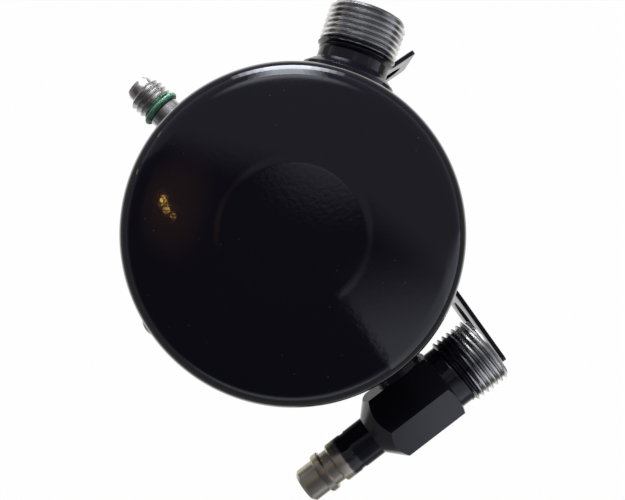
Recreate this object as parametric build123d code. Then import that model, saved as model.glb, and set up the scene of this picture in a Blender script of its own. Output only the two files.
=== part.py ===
from build123d import *
from math import asin, cos, degrees, pi, radians, sin, sqrt
import os

# Steel suction accumulator for a vehicle air conditioning system. It is a welded can with
# a threaded inlet, an outlet tee with a service port, a pressure switch port, a relief
# plug and a bent sheet bracket. Inside are the pickup tube, its oil filter, a desiccant
# bag and an inlet baffle.
# Millimetres. The origin is the middle of the can's flat base and +Z runs up the can.
# Angles are seen from above, anticlockwise from +X, which is the middle of the bracket.
# A distance on a fitting is measured from the can's axis unless its comment says otherwise.

# How far a cutting shape runs past the face that it cuts
overcut = 1.0

# Can: two drawn cups, the lower one stepped in to slide into the upper one
can_diameter = 95.25
can_wall = 2.5
can_height = 208.7
knuckle_radius = 8.0
crown_edge_slope = 12.0
crown_radius = 150.0
disc_radius = 19.55
disc_rise = 0.25
disc_edge_width = 0.9
disc_edge_round = 2.0
seam_height = 76.0
step_length = 3.0
lap_length = 10.0
lap_clearance = 0.05
seam_bead_width = 7.0
seam_bead_rise = 1.3

# Shared by the fittings that are welded into the can
hole_clearance = 0.05
wall_reach = 1.5
weld_leg = 1.8

# Inlet fitting, 1 1/16 inch thread
inlet_angle = 37.0
inlet_height = 145.0
inlet_thread_diameter = 27.0
inlet_collar_diameter = 32.0
inlet_neck_diameter = 24.6
inlet_spigot_diameter = 23.0
inlet_bore_diameter = 16.0
inlet_mouth_diameter = 19.2
inlet_mouth_depth = 10.0
inlet_collar_end = 56.7
inlet_neck_start = 59.4
inlet_thread_start = 62.6
inlet_end = 78.5
inlet_end_chamfer = 1.4
inlet_mouth_chamfer = 0.8

# Outlet tee, 7/8 inch thread and hexagon. Places along it are measured from the point
# nearest the can's axis, positive towards the thread
tee_offset_angle = -86.52
tee_offset = 64.5
tee_height = 169.0
tee_thread_diameter = 22.2
tee_neck_diameter = 19.8
tee_hex_across_flats = 21.0
tee_shank_diameter = 13.0
tee_cone_start = -18.4
tee_hex_start = -14.4
tee_hex_end = 9.4
tee_hex_end_chamfer = 1.0
tee_thread_start = 12.9
tee_end = 26.55
tee_end_chamfer = 1.2
tee_bore_diameter = 12.6
tee_bore_reach = 7.0
tee_mouth_diameter = 16.1
tee_mouth_depth = 10.0
tee_mouth_chamfer = 0.8
stub_diameter = 19.0
stub_inner_end = 40.3

# Service port on the tee's other end, measured as the tee is
service_tip = -45.05
service_nose_diameter = 10.9
service_nose_end = -38.55
service_ring_diameter = 13.0
service_ring_end = -35.85
service_groove_diameter = 11.0
service_groove_end = -32.9
service_second_ring_end = -26.8
service_relief_diameter = 12.5
service_relief_end = -25.4
service_edge_chamfer = 0.5

# Pressure switch port, M12 thread, with its O-ring in a groove
switch_angle = 102.4
switch_height = 158.0
switch_collar_diameter = 17.0
switch_collar_end = 51.6
switch_shank_diameter = 10.7
switch_groove_start = 57.75
switch_groove_diameter = 9.6
switch_thread_start = 59.85
switch_thread_diameter = 12.0
switch_thread_end = 66.2
switch_nose_diameter = 8.6
switch_nose_end = 68.5
switch_nose_tip_diameter = 7.4
switch_tip = 69.4
switch_spigot_diameter = 10.0
o_ring_section = 1.8
o_ring_clearance = 0.02

# Relief boss and its screwed-in plug
relief_angle = 178.3
relief_height = 147.0
relief_boss_diameter = 16.0
relief_boss_end = 53.0
relief_bore_diameter = 8.0
relief_spigot_diameter = 12.0
relief_plug_diameter = 12.0
relief_plug_top = 58.9
relief_thread_length = 6.0
relief_thread_clearance = 0.05

# Valve core of both small ports, measured inwards from the port's tip
core_mouth_radius = 3.1
core_bridge_top = 6.6
core_seat_depth = 7.4
core_bridge_bottom = 9.0
core_bridge_width = 2.5
core_seal_top = 10.4
core_seal_bottom = 12.2
core_seal_depth = 0.5
core_seal_clearance = 0.02
core_barrel_radius = 2.55
core_barrel_clearance = 0.05
core_passage_radius = 1.7
core_barrel_end = 14.0
core_room_radius = 2.8
core_room_end = 18.0
core_lead_radius = 1.6
pin_recess = 1.2
pin_head_radius = 1.35
pin_head_thickness = 1.0
pin_radius = 0.75
pin_clearance = 0.05
poppet_radius = 2.2
poppet_thickness = 1.1
poppet_seal_thickness = 0.5
poppet_seat_gap = 0.02
spring_wire_radius = 0.14
spring_turns = 6
spring_pin_clearance = 0.16
spring_end_gap = 0.02

# Bracket: a saddle welded round the can with an ear bent out at each end
bracket_thickness = 1.6
bracket_clearance = 1.2
bracket_width = 33.0
bracket_bend_radius = 1.2
long_ear_face = 35.9
long_ear_reach = 81.5
long_ear_flare = 1.7
short_ear_face = 29.8
short_ear_reach = 73.4
ear_corner_radius = 2.0
slot_width = 12.5
slot_length = 21.0
slot_end_margin = 4.5

# Pickup tube, bent in one plane, with the oil bleed hole at its lowest point
tube_diameter = 15.88
tube_wall = 1.2
tube_clearance = 0.05
tube_insertion = 5.0
tube_outlet_bend = 22.0
tube_outlet_leg = 18.2
tube_return_bend = 21.0
tube_bottom = 26.0
tube_top = 188.0
bleed_hole_diameter = 1.2

# Oil filter clipped under the tube
filter_diameter = 22.0
filter_wall = 1.5
filter_foot = 5.0
filter_grip = 6.0
filter_windows = 4
filter_window_width = 7.5
filter_window_margin = 1.5
screen_wall = 0.6
screen_clearance = 0.05
screen_top_gap = 0.4

# Desiccant bag that straddles the tube, and its band
bag_radius = 39.5
bag_bottom = 50.0
bag_baffle_gap = 4.0
bag_clearance = 0.35
bag_round = 5.0
bag_web_height = 30.0
bag_web_margin = 1.0
band_drop = 18.0
band_height = 5.0
band_thickness = 0.9
band_clearance = 0.3
band_head_width = 7.0
band_head_rise = 3.0

# Baffle sheet in front of the inlet, open downwards
baffle_thickness = 1.5
baffle_width = 34.0
baffle_height = 42.0
baffle_standoff = 7.0

# Sizes that follow from the ones above
can_radius = can_diameter / 2
inner_radius = can_radius - can_wall
wall_inside = inner_radius - wall_reach
bracket_top = inlet_height - inlet_collar_diameter / 2 - weld_leg - bracket_clearance
bracket_bottom = bracket_top - bracket_width
bracket_middle = bracket_top - bracket_width / 2
tube_radius = tube_diameter / 2
tube_return_leg = tube_outlet_leg - 2 * tube_return_bend
step_bottom = seam_height - step_length / 2
step_top = seam_height + step_length / 2
bag_top = inlet_height - baffle_height / 2 - bag_baffle_gap
band_level = bag_top - band_drop
poppet_seal_top = core_barrel_end + poppet_seat_gap


def turned(points):
    """Solid turned about X from (distance, radius) points; it closes along the axis."""
    return revolve(make_face(Polyline(*points, close=True)), axis=Axis.X)


def rod(start, end, radius):
    """Cylinder along X between two distances."""
    return turned([(start, 0), (start, radius), (end, radius), (end, 0)])


def on_can(angle, height):
    """Place on the can's axis with X running outwards at this angle."""
    return Location((0, 0, height), (0, 0, angle))


def can_bar(radius):
    """Solid bar on the can's axis, taller than the can."""
    return Pos(0, 0, can_height / 2) * Cylinder(radius, 2 * can_height)


def outside_can(solid, place):
    """The part of a fitting's solid that lies outside the can's outer face, on X."""
    return solid - place.inverse() * can_bar(can_radius)


inlet_place = on_can(inlet_angle, inlet_height)
switch_place = on_can(switch_angle, switch_height)
relief_place = on_can(relief_angle, relief_height)
stub_place = on_can(tee_offset_angle, tee_height)
tee_place = stub_place * Location((tee_offset, 0, 0), (0, 0, 90))
service_core_place = tee_place * Pos(service_tip, 0, 0)
switch_core_place = switch_place * Location((switch_tip, 0, 0), (0, 0, 180))
tube_plane = Plane(
    origin=(0, 0, 0),
    x_dir=(cos(radians(tee_offset_angle)), sin(radians(tee_offset_angle)), 0),
    z_dir=(sin(radians(tee_offset_angle)), -cos(radians(tee_offset_angle)), 0),
)


# Can shells

def crown_height_above_knuckle():
    """Rise from the knuckle's centre to the foot of the raised disc, on the outer face."""
    slope = radians(crown_edge_slope)
    centre = can_radius - knuckle_radius + (knuckle_radius - crown_radius) * sin(slope)
    foot_lean = asin((disc_radius + disc_edge_width - centre) / crown_radius)
    return (knuckle_radius - crown_radius) * cos(slope) + crown_radius * cos(foot_lean)


def crowned_bar(inset, bottom):
    """Bar under the crown's outer face moved inwards by the inset, down to the bottom."""
    slope = radians(crown_edge_slope)
    knuckle_centre = (
        can_radius - knuckle_radius,
        can_height - disc_rise - crown_height_above_knuckle(),
    )
    crown_centre = (
        knuckle_centre[0] + (knuckle_radius - crown_radius) * sin(slope),
        knuckle_centre[1] + (knuckle_radius - crown_radius) * cos(slope),
    )
    crown_arc_radius = crown_radius - inset
    foot_radius = disc_radius + disc_edge_width - inset / 2
    foot_lean = asin((foot_radius - crown_centre[0]) / crown_arc_radius)
    foot = (foot_radius, crown_centre[1] + crown_arc_radius * cos(foot_lean))
    edge = (disc_radius - inset / 2, can_height - inset)
    knuckle = CenterArc(knuckle_centre, knuckle_radius - inset, 0, 90 - crown_edge_slope)
    crown = CenterArc(
        crown_centre,
        crown_arc_radius,
        90 - crown_edge_slope,
        crown_edge_slope - degrees(foot_lean),
    )
    side = can_radius - inset
    rest = Polyline(foot, edge, (0, edge[1]), (0, bottom), (side, bottom), knuckle @ 0)
    face = make_face(Curve() + [knuckle, crown, rest])
    corners = [face.vertices().sort_by_distance(corner)[0] for corner in (foot, edge)]
    face = fillet(corners, radius=disc_edge_round)
    return revolve(Plane.XZ * face, axis=Axis.Z)


def upper_shell():
    """Upper cup with its raised disc and the holes for the four fittings."""
    shell = crowned_bar(0, step_top) - crowned_bar(can_wall, step_top - overcut)
    holes = (
        (inlet_place, inlet_spigot_diameter),
        (stub_place, stub_diameter),
        (switch_place, switch_spigot_diameter),
        (relief_place, relief_spigot_diameter),
    )
    for place, diameter in holes:
        shell -= place * rod(0, 2 * can_radius, diameter / 2 + hole_clearance)
    return shell


def stepped_bar(inset):
    """Bar inside the lower cup's outer face moved inwards by the inset."""
    radius = can_radius - inset
    lap_radius = inner_radius - lap_clearance - inset
    top = step_top + lap_length
    corner = CenterArc(
        (can_radius - knuckle_radius, knuckle_radius), knuckle_radius - inset, -90, 90
    )
    rest = Polyline(
        corner @ 1,
        (radius, step_bottom),
        (lap_radius, step_top),
        (lap_radius, top),
        (0, top),
        (0, inset),
        corner @ 0,
    )
    return revolve(Plane.XZ * make_face(Curve() + [corner, rest]), axis=Axis.Z)


def lower_shell():
    """Lower cup, flat underneath, with the stepped-in rim that the upper cup slides over."""
    cavity = stepped_bar(can_wall)
    return stepped_bar(0) - cavity


def girth_weld():
    """Bead that fills the step between the cups and stands a little proud."""
    low = seam_height - seam_bead_width / 2
    high = seam_height + seam_bead_width / 2
    crest = ThreePointArc(
        (can_radius, low), (can_radius + seam_bead_rise, seam_height), (can_radius, high)
    )
    root = Polyline(
        (can_radius, high),
        (can_radius, step_top),
        (inner_radius - lap_clearance, step_top),
        (can_radius, step_bottom),
        (can_radius, low),
    )
    return revolve(Plane.XZ * make_face(Curve() + [crest, root]), axis=Axis.Z)


def fitting_weld(place, diameter):
    """Fillet bead round a fitting where it meets the can."""
    bead = place * rod(0, 2 * can_radius, diameter / 2 + weld_leg)
    bead &= can_bar(can_radius + weld_leg)
    bead -= can_bar(can_radius)
    return bead - place * rod(0, 2 * can_radius, diameter / 2)


# Turned fittings

def inlet_fitting():
    """Male threaded inlet: collar on the can, neck, thread and a stepped bore."""
    radius = inlet_thread_diameter / 2
    collar = turned([
        (0, 0),
        (0, inlet_collar_diameter / 2),
        (inlet_collar_end, inlet_collar_diameter / 2),
        (inlet_neck_start, inlet_neck_diameter / 2),
        (inlet_thread_start, inlet_neck_diameter / 2),
        (inlet_thread_start + (radius - inlet_neck_diameter / 2), radius),
        (inlet_end - inlet_end_chamfer, radius),
        (inlet_end, radius - inlet_end_chamfer),
        (inlet_end, 0),
    ])
    body = outside_can(collar, inlet_place)
    body += rod(wall_inside, inlet_collar_end, inlet_spigot_diameter / 2)
    mouth = inlet_mouth_diameter / 2
    body -= turned([
        (0, 0),
        (0, inlet_bore_diameter / 2),
        (inlet_end - inlet_mouth_depth, inlet_bore_diameter / 2),
        (inlet_end - inlet_mouth_depth, mouth),
        (inlet_end - inlet_mouth_chamfer, mouth),
        (inlet_end, mouth + inlet_mouth_chamfer),
        (inlet_end + overcut, mouth + inlet_mouth_chamfer),
        (inlet_end + overcut, 0),
    ])
    return inlet_place * body


def hexagon_body():
    """Hexagon with a flat towards the can, its ends turned to a cone and a chamfer."""
    flat = tee_hex_across_flats / 2
    corner = flat / cos(pi / 6)
    cone_rise = (flat - tee_shank_diameter / 2) / (tee_hex_start - tee_cone_start)
    full_cone = tee_hex_start + (corner - flat) / cone_rise
    envelope = turned([
        (tee_cone_start, 0),
        (tee_cone_start, tee_shank_diameter / 2),
        (full_cone, corner),
        (tee_hex_end - tee_hex_end_chamfer, corner),
        (tee_hex_end, corner - 2 * tee_hex_end_chamfer),
        (tee_hex_end, 0),
    ])
    outline = Plane.YZ * RegularPolygon(flat, 6, major_radius=False, rotation=30)
    return envelope & Pos(tee_cone_start, 0, 0) * extrude(outline, tee_hex_end - tee_cone_start)


def service_port_outline():
    """Outline of the quick-coupler end, from its tip to the hexagon's cone."""
    nose = service_nose_diameter / 2
    ring = service_ring_diameter / 2
    groove = service_groove_diameter / 2
    relief = service_relief_diameter / 2
    edge = service_edge_chamfer
    return [
        (service_tip, 0),
        (service_tip, nose - 2 * edge),
        (service_tip + 2 * edge, nose),
        (service_nose_end, nose),
        (service_nose_end, ring - edge),
        (service_nose_end + edge, ring),
        (service_ring_end, ring),
        (service_ring_end, groove),
        (service_groove_end, groove),
        (service_groove_end, ring - edge),
        (service_groove_end + edge, ring),
        (service_second_ring_end - edge, ring),
        (service_second_ring_end, relief),
        (service_relief_end, relief),
        (service_relief_end, tee_shank_diameter / 2),
        (tee_cone_start + overcut, tee_shank_diameter / 2),
        (tee_cone_start + overcut, 0),
    ]


def core_bore(reach):
    """Bore that takes a valve core, from the port's tip to this depth."""
    barrel = core_barrel_radius + core_barrel_clearance
    return turned([
        (-overcut, 0),
        (-overcut, core_mouth_radius),
        (core_seat_depth, core_mouth_radius),
        (core_seat_depth, barrel),
        (core_barrel_end, barrel),
        (core_barrel_end, core_room_radius),
        (core_room_end, core_room_radius),
        (core_room_end, core_lead_radius),
        (reach, core_lead_radius),
        (reach, 0),
    ])


def outlet_tee():
    """One turned piece: service port, hexagon, thread, and the stub into the can."""
    radius = tee_thread_diameter / 2
    neck = tee_neck_diameter / 2
    body = hexagon_body() + turned(service_port_outline())
    body += turned([
        (tee_hex_end - overcut, 0),
        (tee_hex_end - overcut, neck),
        (tee_thread_start, neck),
        (tee_thread_start + (radius - neck), radius),
        (tee_end - tee_end_chamfer, radius),
        (tee_end, radius - tee_end_chamfer),
        (tee_end, 0),
    ])
    body = tee_place * body + stub_place * rod(stub_inner_end, tee_offset, stub_diameter / 2)
    mouth = tee_mouth_diameter / 2
    body -= tee_place * turned([
        (-tee_bore_reach, 0),
        (-tee_bore_reach, tee_bore_diameter / 2),
        (tee_end - tee_mouth_depth, tee_bore_diameter / 2),
        (tee_end - tee_mouth_depth, mouth),
        (tee_end - tee_mouth_chamfer, mouth),
        (tee_end, mouth + tee_mouth_chamfer),
        (tee_end + overcut, mouth + tee_mouth_chamfer),
        (tee_end + overcut, 0),
    ])
    body -= stub_place * rod(0, tee_offset, tee_bore_diameter / 2)
    socket_end = stub_inner_end + tube_insertion
    body -= stub_place * rod(0, socket_end, tube_radius + tube_clearance)
    body -= service_core_place * core_bore(-service_tip)
    return body


def switch_port():
    """Male port for the pressure switch, with the O-ring groove under its thread."""
    thread = switch_thread_diameter / 2
    groove = switch_groove_diameter / 2
    collar = turned([
        (0, 0),
        (0, switch_collar_diameter / 2),
        (switch_collar_end, switch_collar_diameter / 2),
        (switch_collar_end, switch_shank_diameter / 2),
        (switch_groove_start, switch_shank_diameter / 2),
        (switch_groove_start, groove),
        (switch_thread_start, groove),
        (switch_thread_start + (thread - groove) / 2, thread),
        (switch_thread_end, thread),
        (switch_thread_end, switch_nose_diameter / 2),
        (switch_nose_end, switch_nose_diameter / 2),
        (switch_tip, switch_nose_tip_diameter / 2),
        (switch_tip, 0),
    ])
    body = outside_can(collar, switch_place)
    body += rod(wall_inside, switch_collar_end, switch_spigot_diameter / 2)
    body = switch_place * body
    body -= switch_core_place * core_bore(switch_tip)
    return body


def switch_o_ring():
    """O-ring in the switch port's groove."""
    middle = switch_groove_diameter / 2 + o_ring_section / 2 + o_ring_clearance
    seat = (switch_groove_start + switch_thread_start) / 2
    place = switch_place * Location((seat, 0, 0), (0, 90, 0))
    return place * Torus(middle, o_ring_section / 2)


def relief_boss():
    """Weld-on boss that the relief plug screws into."""
    boss = outside_can(rod(0, relief_boss_end, relief_boss_diameter / 2), relief_place)
    boss += rod(wall_inside, relief_boss_end, relief_spigot_diameter / 2)
    boss -= rod(0, relief_boss_end + overcut, relief_bore_diameter / 2)
    return relief_place * boss


def relief_plug():
    """Plug with a domed head and a short threaded shank."""
    head = relief_plug_diameter / 2
    shank = relief_bore_diameter / 2 - relief_thread_clearance
    dome_centre = relief_plug_top - head
    dome = CenterArc((dome_centre, 0), head, 0, 90)
    rest = Polyline(
        (dome_centre, head),
        (relief_boss_end, head),
        (relief_boss_end, shank),
        (relief_boss_end - relief_thread_length, shank),
        (relief_boss_end - relief_thread_length, 0),
        (relief_plug_top, 0),
    )
    return relief_place * revolve(make_face(Curve() + [dome, rest]), axis=Axis.X)


# Valve core, built from the port's tip inwards along X

def core_body():
    """Barrel with a groove for its seal and a narrow bridge that guides the pin."""
    barrel = core_barrel_radius
    groove = barrel - core_seal_depth
    body = turned([
        (core_bridge_top, 0),
        (core_bridge_top, barrel),
        (core_seal_top, barrel),
        (core_seal_top, groove),
        (core_seal_bottom, groove),
        (core_seal_bottom, barrel),
        (core_barrel_end, barrel),
        (core_barrel_end, 0),
    ])
    body -= rod(core_bridge_bottom, core_barrel_end + overcut, core_passage_radius)
    body -= rod(core_bridge_top - overcut, core_barrel_end, pin_radius + pin_clearance)
    bridge_length = core_bridge_bottom - core_bridge_top
    for side in (-1, 1):
        offset = side * (core_bridge_width / 2 + barrel)
        body -= Pos(core_bridge_top + bridge_length / 2, 0, offset) * Box(
            bridge_length, 3 * barrel, 2 * barrel
        )
    return body


def core_seal():
    """Soft ring in the barrel's groove that seals the core in its port."""
    inner = core_barrel_radius - core_seal_depth + core_seal_clearance
    outer = core_barrel_radius + core_barrel_clearance - core_seal_clearance
    start = core_seal_top + core_seal_clearance
    end = core_seal_bottom - core_seal_clearance
    return rod(start, end, outer) - rod(start, end, inner)


def core_pin():
    """Pin with its head outside and the poppet cup inside the port."""
    head_end = pin_recess + pin_head_thickness
    poppet_top = poppet_seal_top + poppet_seal_thickness
    return turned([
        (pin_recess, 0),
        (pin_recess, pin_head_radius),
        (head_end, pin_head_radius),
        (head_end, pin_radius),
        (poppet_top, pin_radius),
        (poppet_top, poppet_radius),
        (poppet_top + poppet_thickness, poppet_radius),
        (poppet_top + poppet_thickness, 0),
    ])


def poppet_seal():
    """Soft washer on the pin that closes the barrel's inner end."""
    end = poppet_seal_top + poppet_seal_thickness
    washer = rod(poppet_seal_top, end, poppet_radius)
    return washer - rod(poppet_seal_top, end, pin_radius)


def core_spring():
    """Coil between the pin's head and the bridge."""
    start = pin_recess + pin_head_thickness + spring_end_gap + spring_wire_radius
    length = core_bridge_top - spring_end_gap - spring_wire_radius - start
    coil_radius = pin_radius + spring_pin_clearance + spring_wire_radius
    path = Helix(length / spring_turns, length, coil_radius)
    wire = Plane(path @ 0, z_dir=path % 0) * Circle(spring_wire_radius)
    coil = sweep(wire, path=path, is_frenet=True)
    return Pos(start, 0, 0) * Rot(0, 90, 0) * coil


# Bracket

def bracket_strip(long_ear_place, long_length):
    """Outline of the bent sheet, seen from above: a saddle with an ear at each end."""
    outer = can_radius + bracket_thickness
    middle = can_radius + bracket_thickness / 2
    short_turn = degrees(asin((short_ear_face + bracket_thickness / 2) / middle))
    long_turn = 90 - degrees(asin((long_ear_face + bracket_thickness / 2) / middle))
    saddle = Circle(outer) & make_face(Polyline(
        (0, 0),
        (2 * outer * cos(radians(long_turn)), -2 * outer * sin(radians(long_turn))),
        (3 * outer, 0),
        (2 * outer * cos(radians(short_turn)), 2 * outer * sin(radians(short_turn))),
        close=True,
    ))
    short_root = sqrt(can_radius**2 - (short_ear_face + bracket_thickness) ** 2)
    short_ear = Pos(short_root, short_ear_face) * Rectangle(
        short_ear_reach - short_root, bracket_thickness, align=(Align.MIN, Align.MIN)
    )
    long_ear = long_ear_place * Rectangle(
        bracket_thickness, long_length, align=(Align.MIN, Align.MAX)
    )
    strip = saddle + short_ear + long_ear - Circle(can_radius)
    long_back = long_ear_face + bracket_thickness
    bends = (
        (sqrt(outer**2 - short_ear_face**2), short_ear_face, 0),
        (long_back, -sqrt(outer**2 - long_back**2), 0),
    )
    corners = [strip.vertices().sort_by_distance(bend)[0] for bend in bends]
    return fillet(corners, radius=bracket_bend_radius)


def bracket():
    """Bent sheet: a saddle on the can with one ear along X and one nearly along -Y."""
    long_root = sqrt(can_radius**2 - (long_ear_face + bracket_thickness) ** 2)
    long_length = long_ear_reach - long_root
    long_ear_place = Location((long_ear_face, -long_root, 0), (0, 0, long_ear_flare))
    strip = bracket_strip(long_ear_place, long_length)
    sheet = Pos(0, 0, bracket_bottom) * extrude(strip, bracket_width)
    slot = extrude(SlotOverall(slot_length, slot_width), 2 * bracket_thickness, both=True)
    from_end = slot_end_margin + slot_length / 2
    short_slot = Location((short_ear_reach - from_end, short_ear_face, bracket_middle), (90, 0, 0))
    long_slot = Location((0, from_end - long_length, bracket_middle), (0, 90, 0))
    sheet -= short_slot * slot
    sheet -= long_ear_place * long_slot * Rot(0, 0, 90) * slot
    short_ends = sheet.edges().filter_by(Axis.Y).group_by(Axis.X)[-1]
    sheet = fillet(short_ends, ear_corner_radius)
    flare = radians(long_ear_flare)
    across = Axis((0, 0, 0), (cos(flare), sin(flare), 0))
    long_ends = sheet.edges().filter_by(across).group_by(Axis.Y)[0]
    return fillet(long_ends, ear_corner_radius)


# Inside the can

def tube_path():
    """Centre line from inside the stub, down, round the bottom and up to the open end."""
    start = (stub_inner_end + tube_insertion, tee_height)
    bend_start = tube_outlet_leg + tube_outlet_bend
    inlet_run = Line(start, (bend_start, tee_height))
    outlet_bend = JernArc(inlet_run @ 1, (-1, 0), tube_outlet_bend, 90)
    down = Line(outlet_bend @ 1, (tube_outlet_leg, tube_bottom + tube_return_bend))
    return_bend = JernArc(down @ 1, (0, -1), tube_return_bend, -180)
    up = Line(return_bend @ 1, (tube_return_leg, tube_top))
    return tube_plane * Wire([inlet_run, outlet_bend, down, return_bend, up])


def along_tube(radius):
    """Solid round bar that follows the pickup tube."""
    path = tube_path()
    return sweep(Plane(path @ 0, z_dir=path % 0) * Circle(radius), path=path)


def pickup_tube():
    """Bent tube with the oil bleed hole underneath."""
    tube = along_tube(tube_radius) - along_tube(tube_radius - tube_wall)
    middle = (tube_outlet_leg + tube_return_leg) / 2
    bleed = Pos(0, 0, tube_bottom - tube_radius) * Cylinder(bleed_hole_diameter / 2, 2 * tube_wall)
    return tube - Location(tube_plane.from_local_coords((middle, 0, 0))) * bleed


def filter_place():
    """Middle of the filter on the can's floor."""
    middle = (tube_outlet_leg + tube_return_leg) / 2
    return Location(tube_plane.from_local_coords((middle, 0, 0)))


def oil_filter():
    """Windowed cup that clips over the bottom of the pickup tube."""
    top = tube_bottom - tube_radius + filter_grip
    outer = filter_diameter / 2
    cup = Pos(0, 0, filter_foot) * Cylinder(
        outer, top - filter_foot, align=(Align.CENTER, Align.CENTER, Align.MIN)
    )
    floor = filter_foot + filter_wall
    cup -= Pos(0, 0, floor) * Cylinder(
        outer - filter_wall, top, align=(Align.CENTER, Align.CENTER, Align.MIN)
    )
    window_low = floor + filter_window_margin
    window_high = tube_bottom - tube_radius - filter_window_margin
    for turn in range(filter_windows):
        window = Pos(outer, 0, (window_low + window_high) / 2) * Box(
            outer, filter_window_width, window_high - window_low
        )
        cup -= Rot(0, 0, 45 + 360 * turn / filter_windows) * window
    return filter_place() * cup - along_tube(tube_radius + tube_clearance)


def filter_screen():
    """Fine sleeve inside the filter cup."""
    outer = filter_diameter / 2 - filter_wall - screen_clearance
    low = filter_foot + filter_wall
    high = tube_bottom - tube_radius - screen_top_gap
    sleeve = Cylinder(outer, high - low, align=(Align.CENTER, Align.CENTER, Align.MIN))
    sleeve -= Cylinder(outer - screen_wall, 3 * high)
    return filter_place() * Pos(0, 0, low) * sleeve


def desiccant_bag():
    """Two pouches either side of the tube, joined by a web between its legs."""
    slot_half = tube_radius + bag_clearance
    height = bag_top - bag_bottom
    roll = Pos(0, 0, bag_bottom) * Cylinder(
        bag_radius, height, align=(Align.CENTER, Align.CENTER, Align.MIN)
    )
    roll = fillet(roll.edges(), bag_round)
    slot = Box(3 * bag_radius, 2 * slot_half, 3 * can_height)
    web_start = tube_return_leg + slot_half + bag_web_margin
    web_end = tube_outlet_leg - slot_half - bag_web_margin
    web = Pos((web_start + web_end) / 2, 0, (bag_bottom + bag_top) / 2) * Box(
        web_end - web_start, 2 * slot_half, bag_web_height
    )
    return Rot(0, 0, tee_offset_angle) * (roll - slot + web)


def bag_band():
    """Tie round the bag, with its head."""
    inner = bag_radius + band_clearance
    outer = inner + band_thickness
    ring = Cylinder(outer, band_height) - Cylinder(inner, 2 * band_height)
    head = Pos(outer + band_head_rise / 2 - band_thickness / 2, 0, 0) * Box(
        band_head_rise, band_head_width, band_height
    )
    return Pos(0, 0, band_level) * (ring + head)


def inlet_baffle():
    """Sheet hood in front of the inlet, open at the bottom, with its edges on the wall."""
    front = inner_radius - baffle_standoff
    hood = Pos(front - baffle_thickness, 0, 0) * Box(
        can_radius, baffle_width, baffle_height, align=(Align.MIN, Align.CENTER, Align.CENTER)
    )
    hood -= Pos(front, 0, -baffle_thickness) * Box(
        can_radius,
        baffle_width - 2 * baffle_thickness,
        baffle_height,
        align=(Align.MIN, Align.CENTER, Align.CENTER),
    )
    return (inlet_place * hood) & can_bar(inner_radius)


nodes = {
    "upper_shell": upper_shell(),
    "lower_shell": lower_shell(),
    "girth_weld": girth_weld(),
    "inlet_fitting": inlet_fitting(),
    "inlet_weld": fitting_weld(inlet_place, inlet_collar_diameter),
    "outlet_tee": outlet_tee(),
    "outlet_weld": fitting_weld(stub_place, stub_diameter),
    "switch_port": switch_port(),
    "switch_port_weld": fitting_weld(switch_place, switch_collar_diameter),
    "switch_o_ring": switch_o_ring(),
    "relief_boss": relief_boss(),
    "relief_weld": fitting_weld(relief_place, relief_boss_diameter),
    "relief_plug": relief_plug(),
    "bracket": bracket(),
    "pickup_tube": pickup_tube(),
    "oil_filter": oil_filter(),
    "filter_screen": filter_screen(),
    "desiccant_bag": desiccant_bag(),
    "bag_band": bag_band(),
    "inlet_baffle": inlet_baffle(),
}
for port, place in (("service", service_core_place), ("switch", switch_core_place)):
    nodes[port + "_core_body"] = place * core_body()
    nodes[port + "_core_seal"] = place * core_seal()
    nodes[port + "_core_pin"] = place * core_pin()
    nodes[port + "_poppet_seal"] = place * poppet_seal()
    nodes[port + "_core_spring"] = place * core_spring()

os.makedirs("parts", exist_ok=True)
for name, solid in nodes.items():
    export_step(solid, "parts/" + name + ".step")
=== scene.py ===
"""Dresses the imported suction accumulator: turned threads, black enamel over bare steel,
a bright cored switch port, and a plain studio with the camera above the can's crown."""

import logging
import math
from dataclasses import dataclass, field
from enum import Enum

import bmesh
import bpy
from mathutils import Matrix, Vector

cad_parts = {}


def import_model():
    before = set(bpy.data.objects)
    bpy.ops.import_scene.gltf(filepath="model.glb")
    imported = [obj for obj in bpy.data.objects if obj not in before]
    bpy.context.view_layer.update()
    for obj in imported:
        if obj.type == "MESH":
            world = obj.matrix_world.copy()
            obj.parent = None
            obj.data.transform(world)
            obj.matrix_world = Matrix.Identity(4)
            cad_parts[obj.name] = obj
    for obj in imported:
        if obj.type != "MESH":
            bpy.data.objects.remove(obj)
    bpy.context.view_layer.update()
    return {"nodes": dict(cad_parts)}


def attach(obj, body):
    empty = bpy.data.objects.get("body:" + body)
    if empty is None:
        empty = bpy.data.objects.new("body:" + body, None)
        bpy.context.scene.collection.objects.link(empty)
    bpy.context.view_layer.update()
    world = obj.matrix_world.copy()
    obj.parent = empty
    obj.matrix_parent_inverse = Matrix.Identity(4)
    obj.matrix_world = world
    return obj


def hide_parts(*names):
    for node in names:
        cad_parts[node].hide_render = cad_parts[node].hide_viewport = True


MM = 0.001
FULL_TURN = 2 * math.pi
log = logging.getLogger("accumulator")

Point = tuple[float, float]


# Small helpers for selection, placing and turning


def deselect_all() -> None:
    """Leave nothing selected, so that an operator acts only on what comes next."""
    if bpy.context.mode != "OBJECT":
        bpy.ops.object.mode_set(mode="OBJECT")
    bpy.ops.object.select_all(action="DESELECT")


def make_active(piece: bpy.types.Object) -> None:
    """Select this piece alone and make it the active one."""
    deselect_all()
    piece.select_set(True)
    bpy.context.view_layer.objects.active = piece


def take_new(name: str) -> bpy.types.Object:
    """Name the primitive that an operator has just added, and its mesh."""
    piece = bpy.context.active_object
    piece.name = name
    piece.data.name = name
    return piece


def settle(piece: bpy.types.Object, place: Matrix) -> None:
    """Put a piece's place into its mesh and leave the object at the origin.

    Args:
        piece: the object that was modelled about the world's origin.
        place: where the piece belongs, in metres.
    """
    piece.data.transform(place @ piece.matrix_world)
    piece.matrix_world = Matrix.Identity(4)
    piece.data.update()


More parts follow.
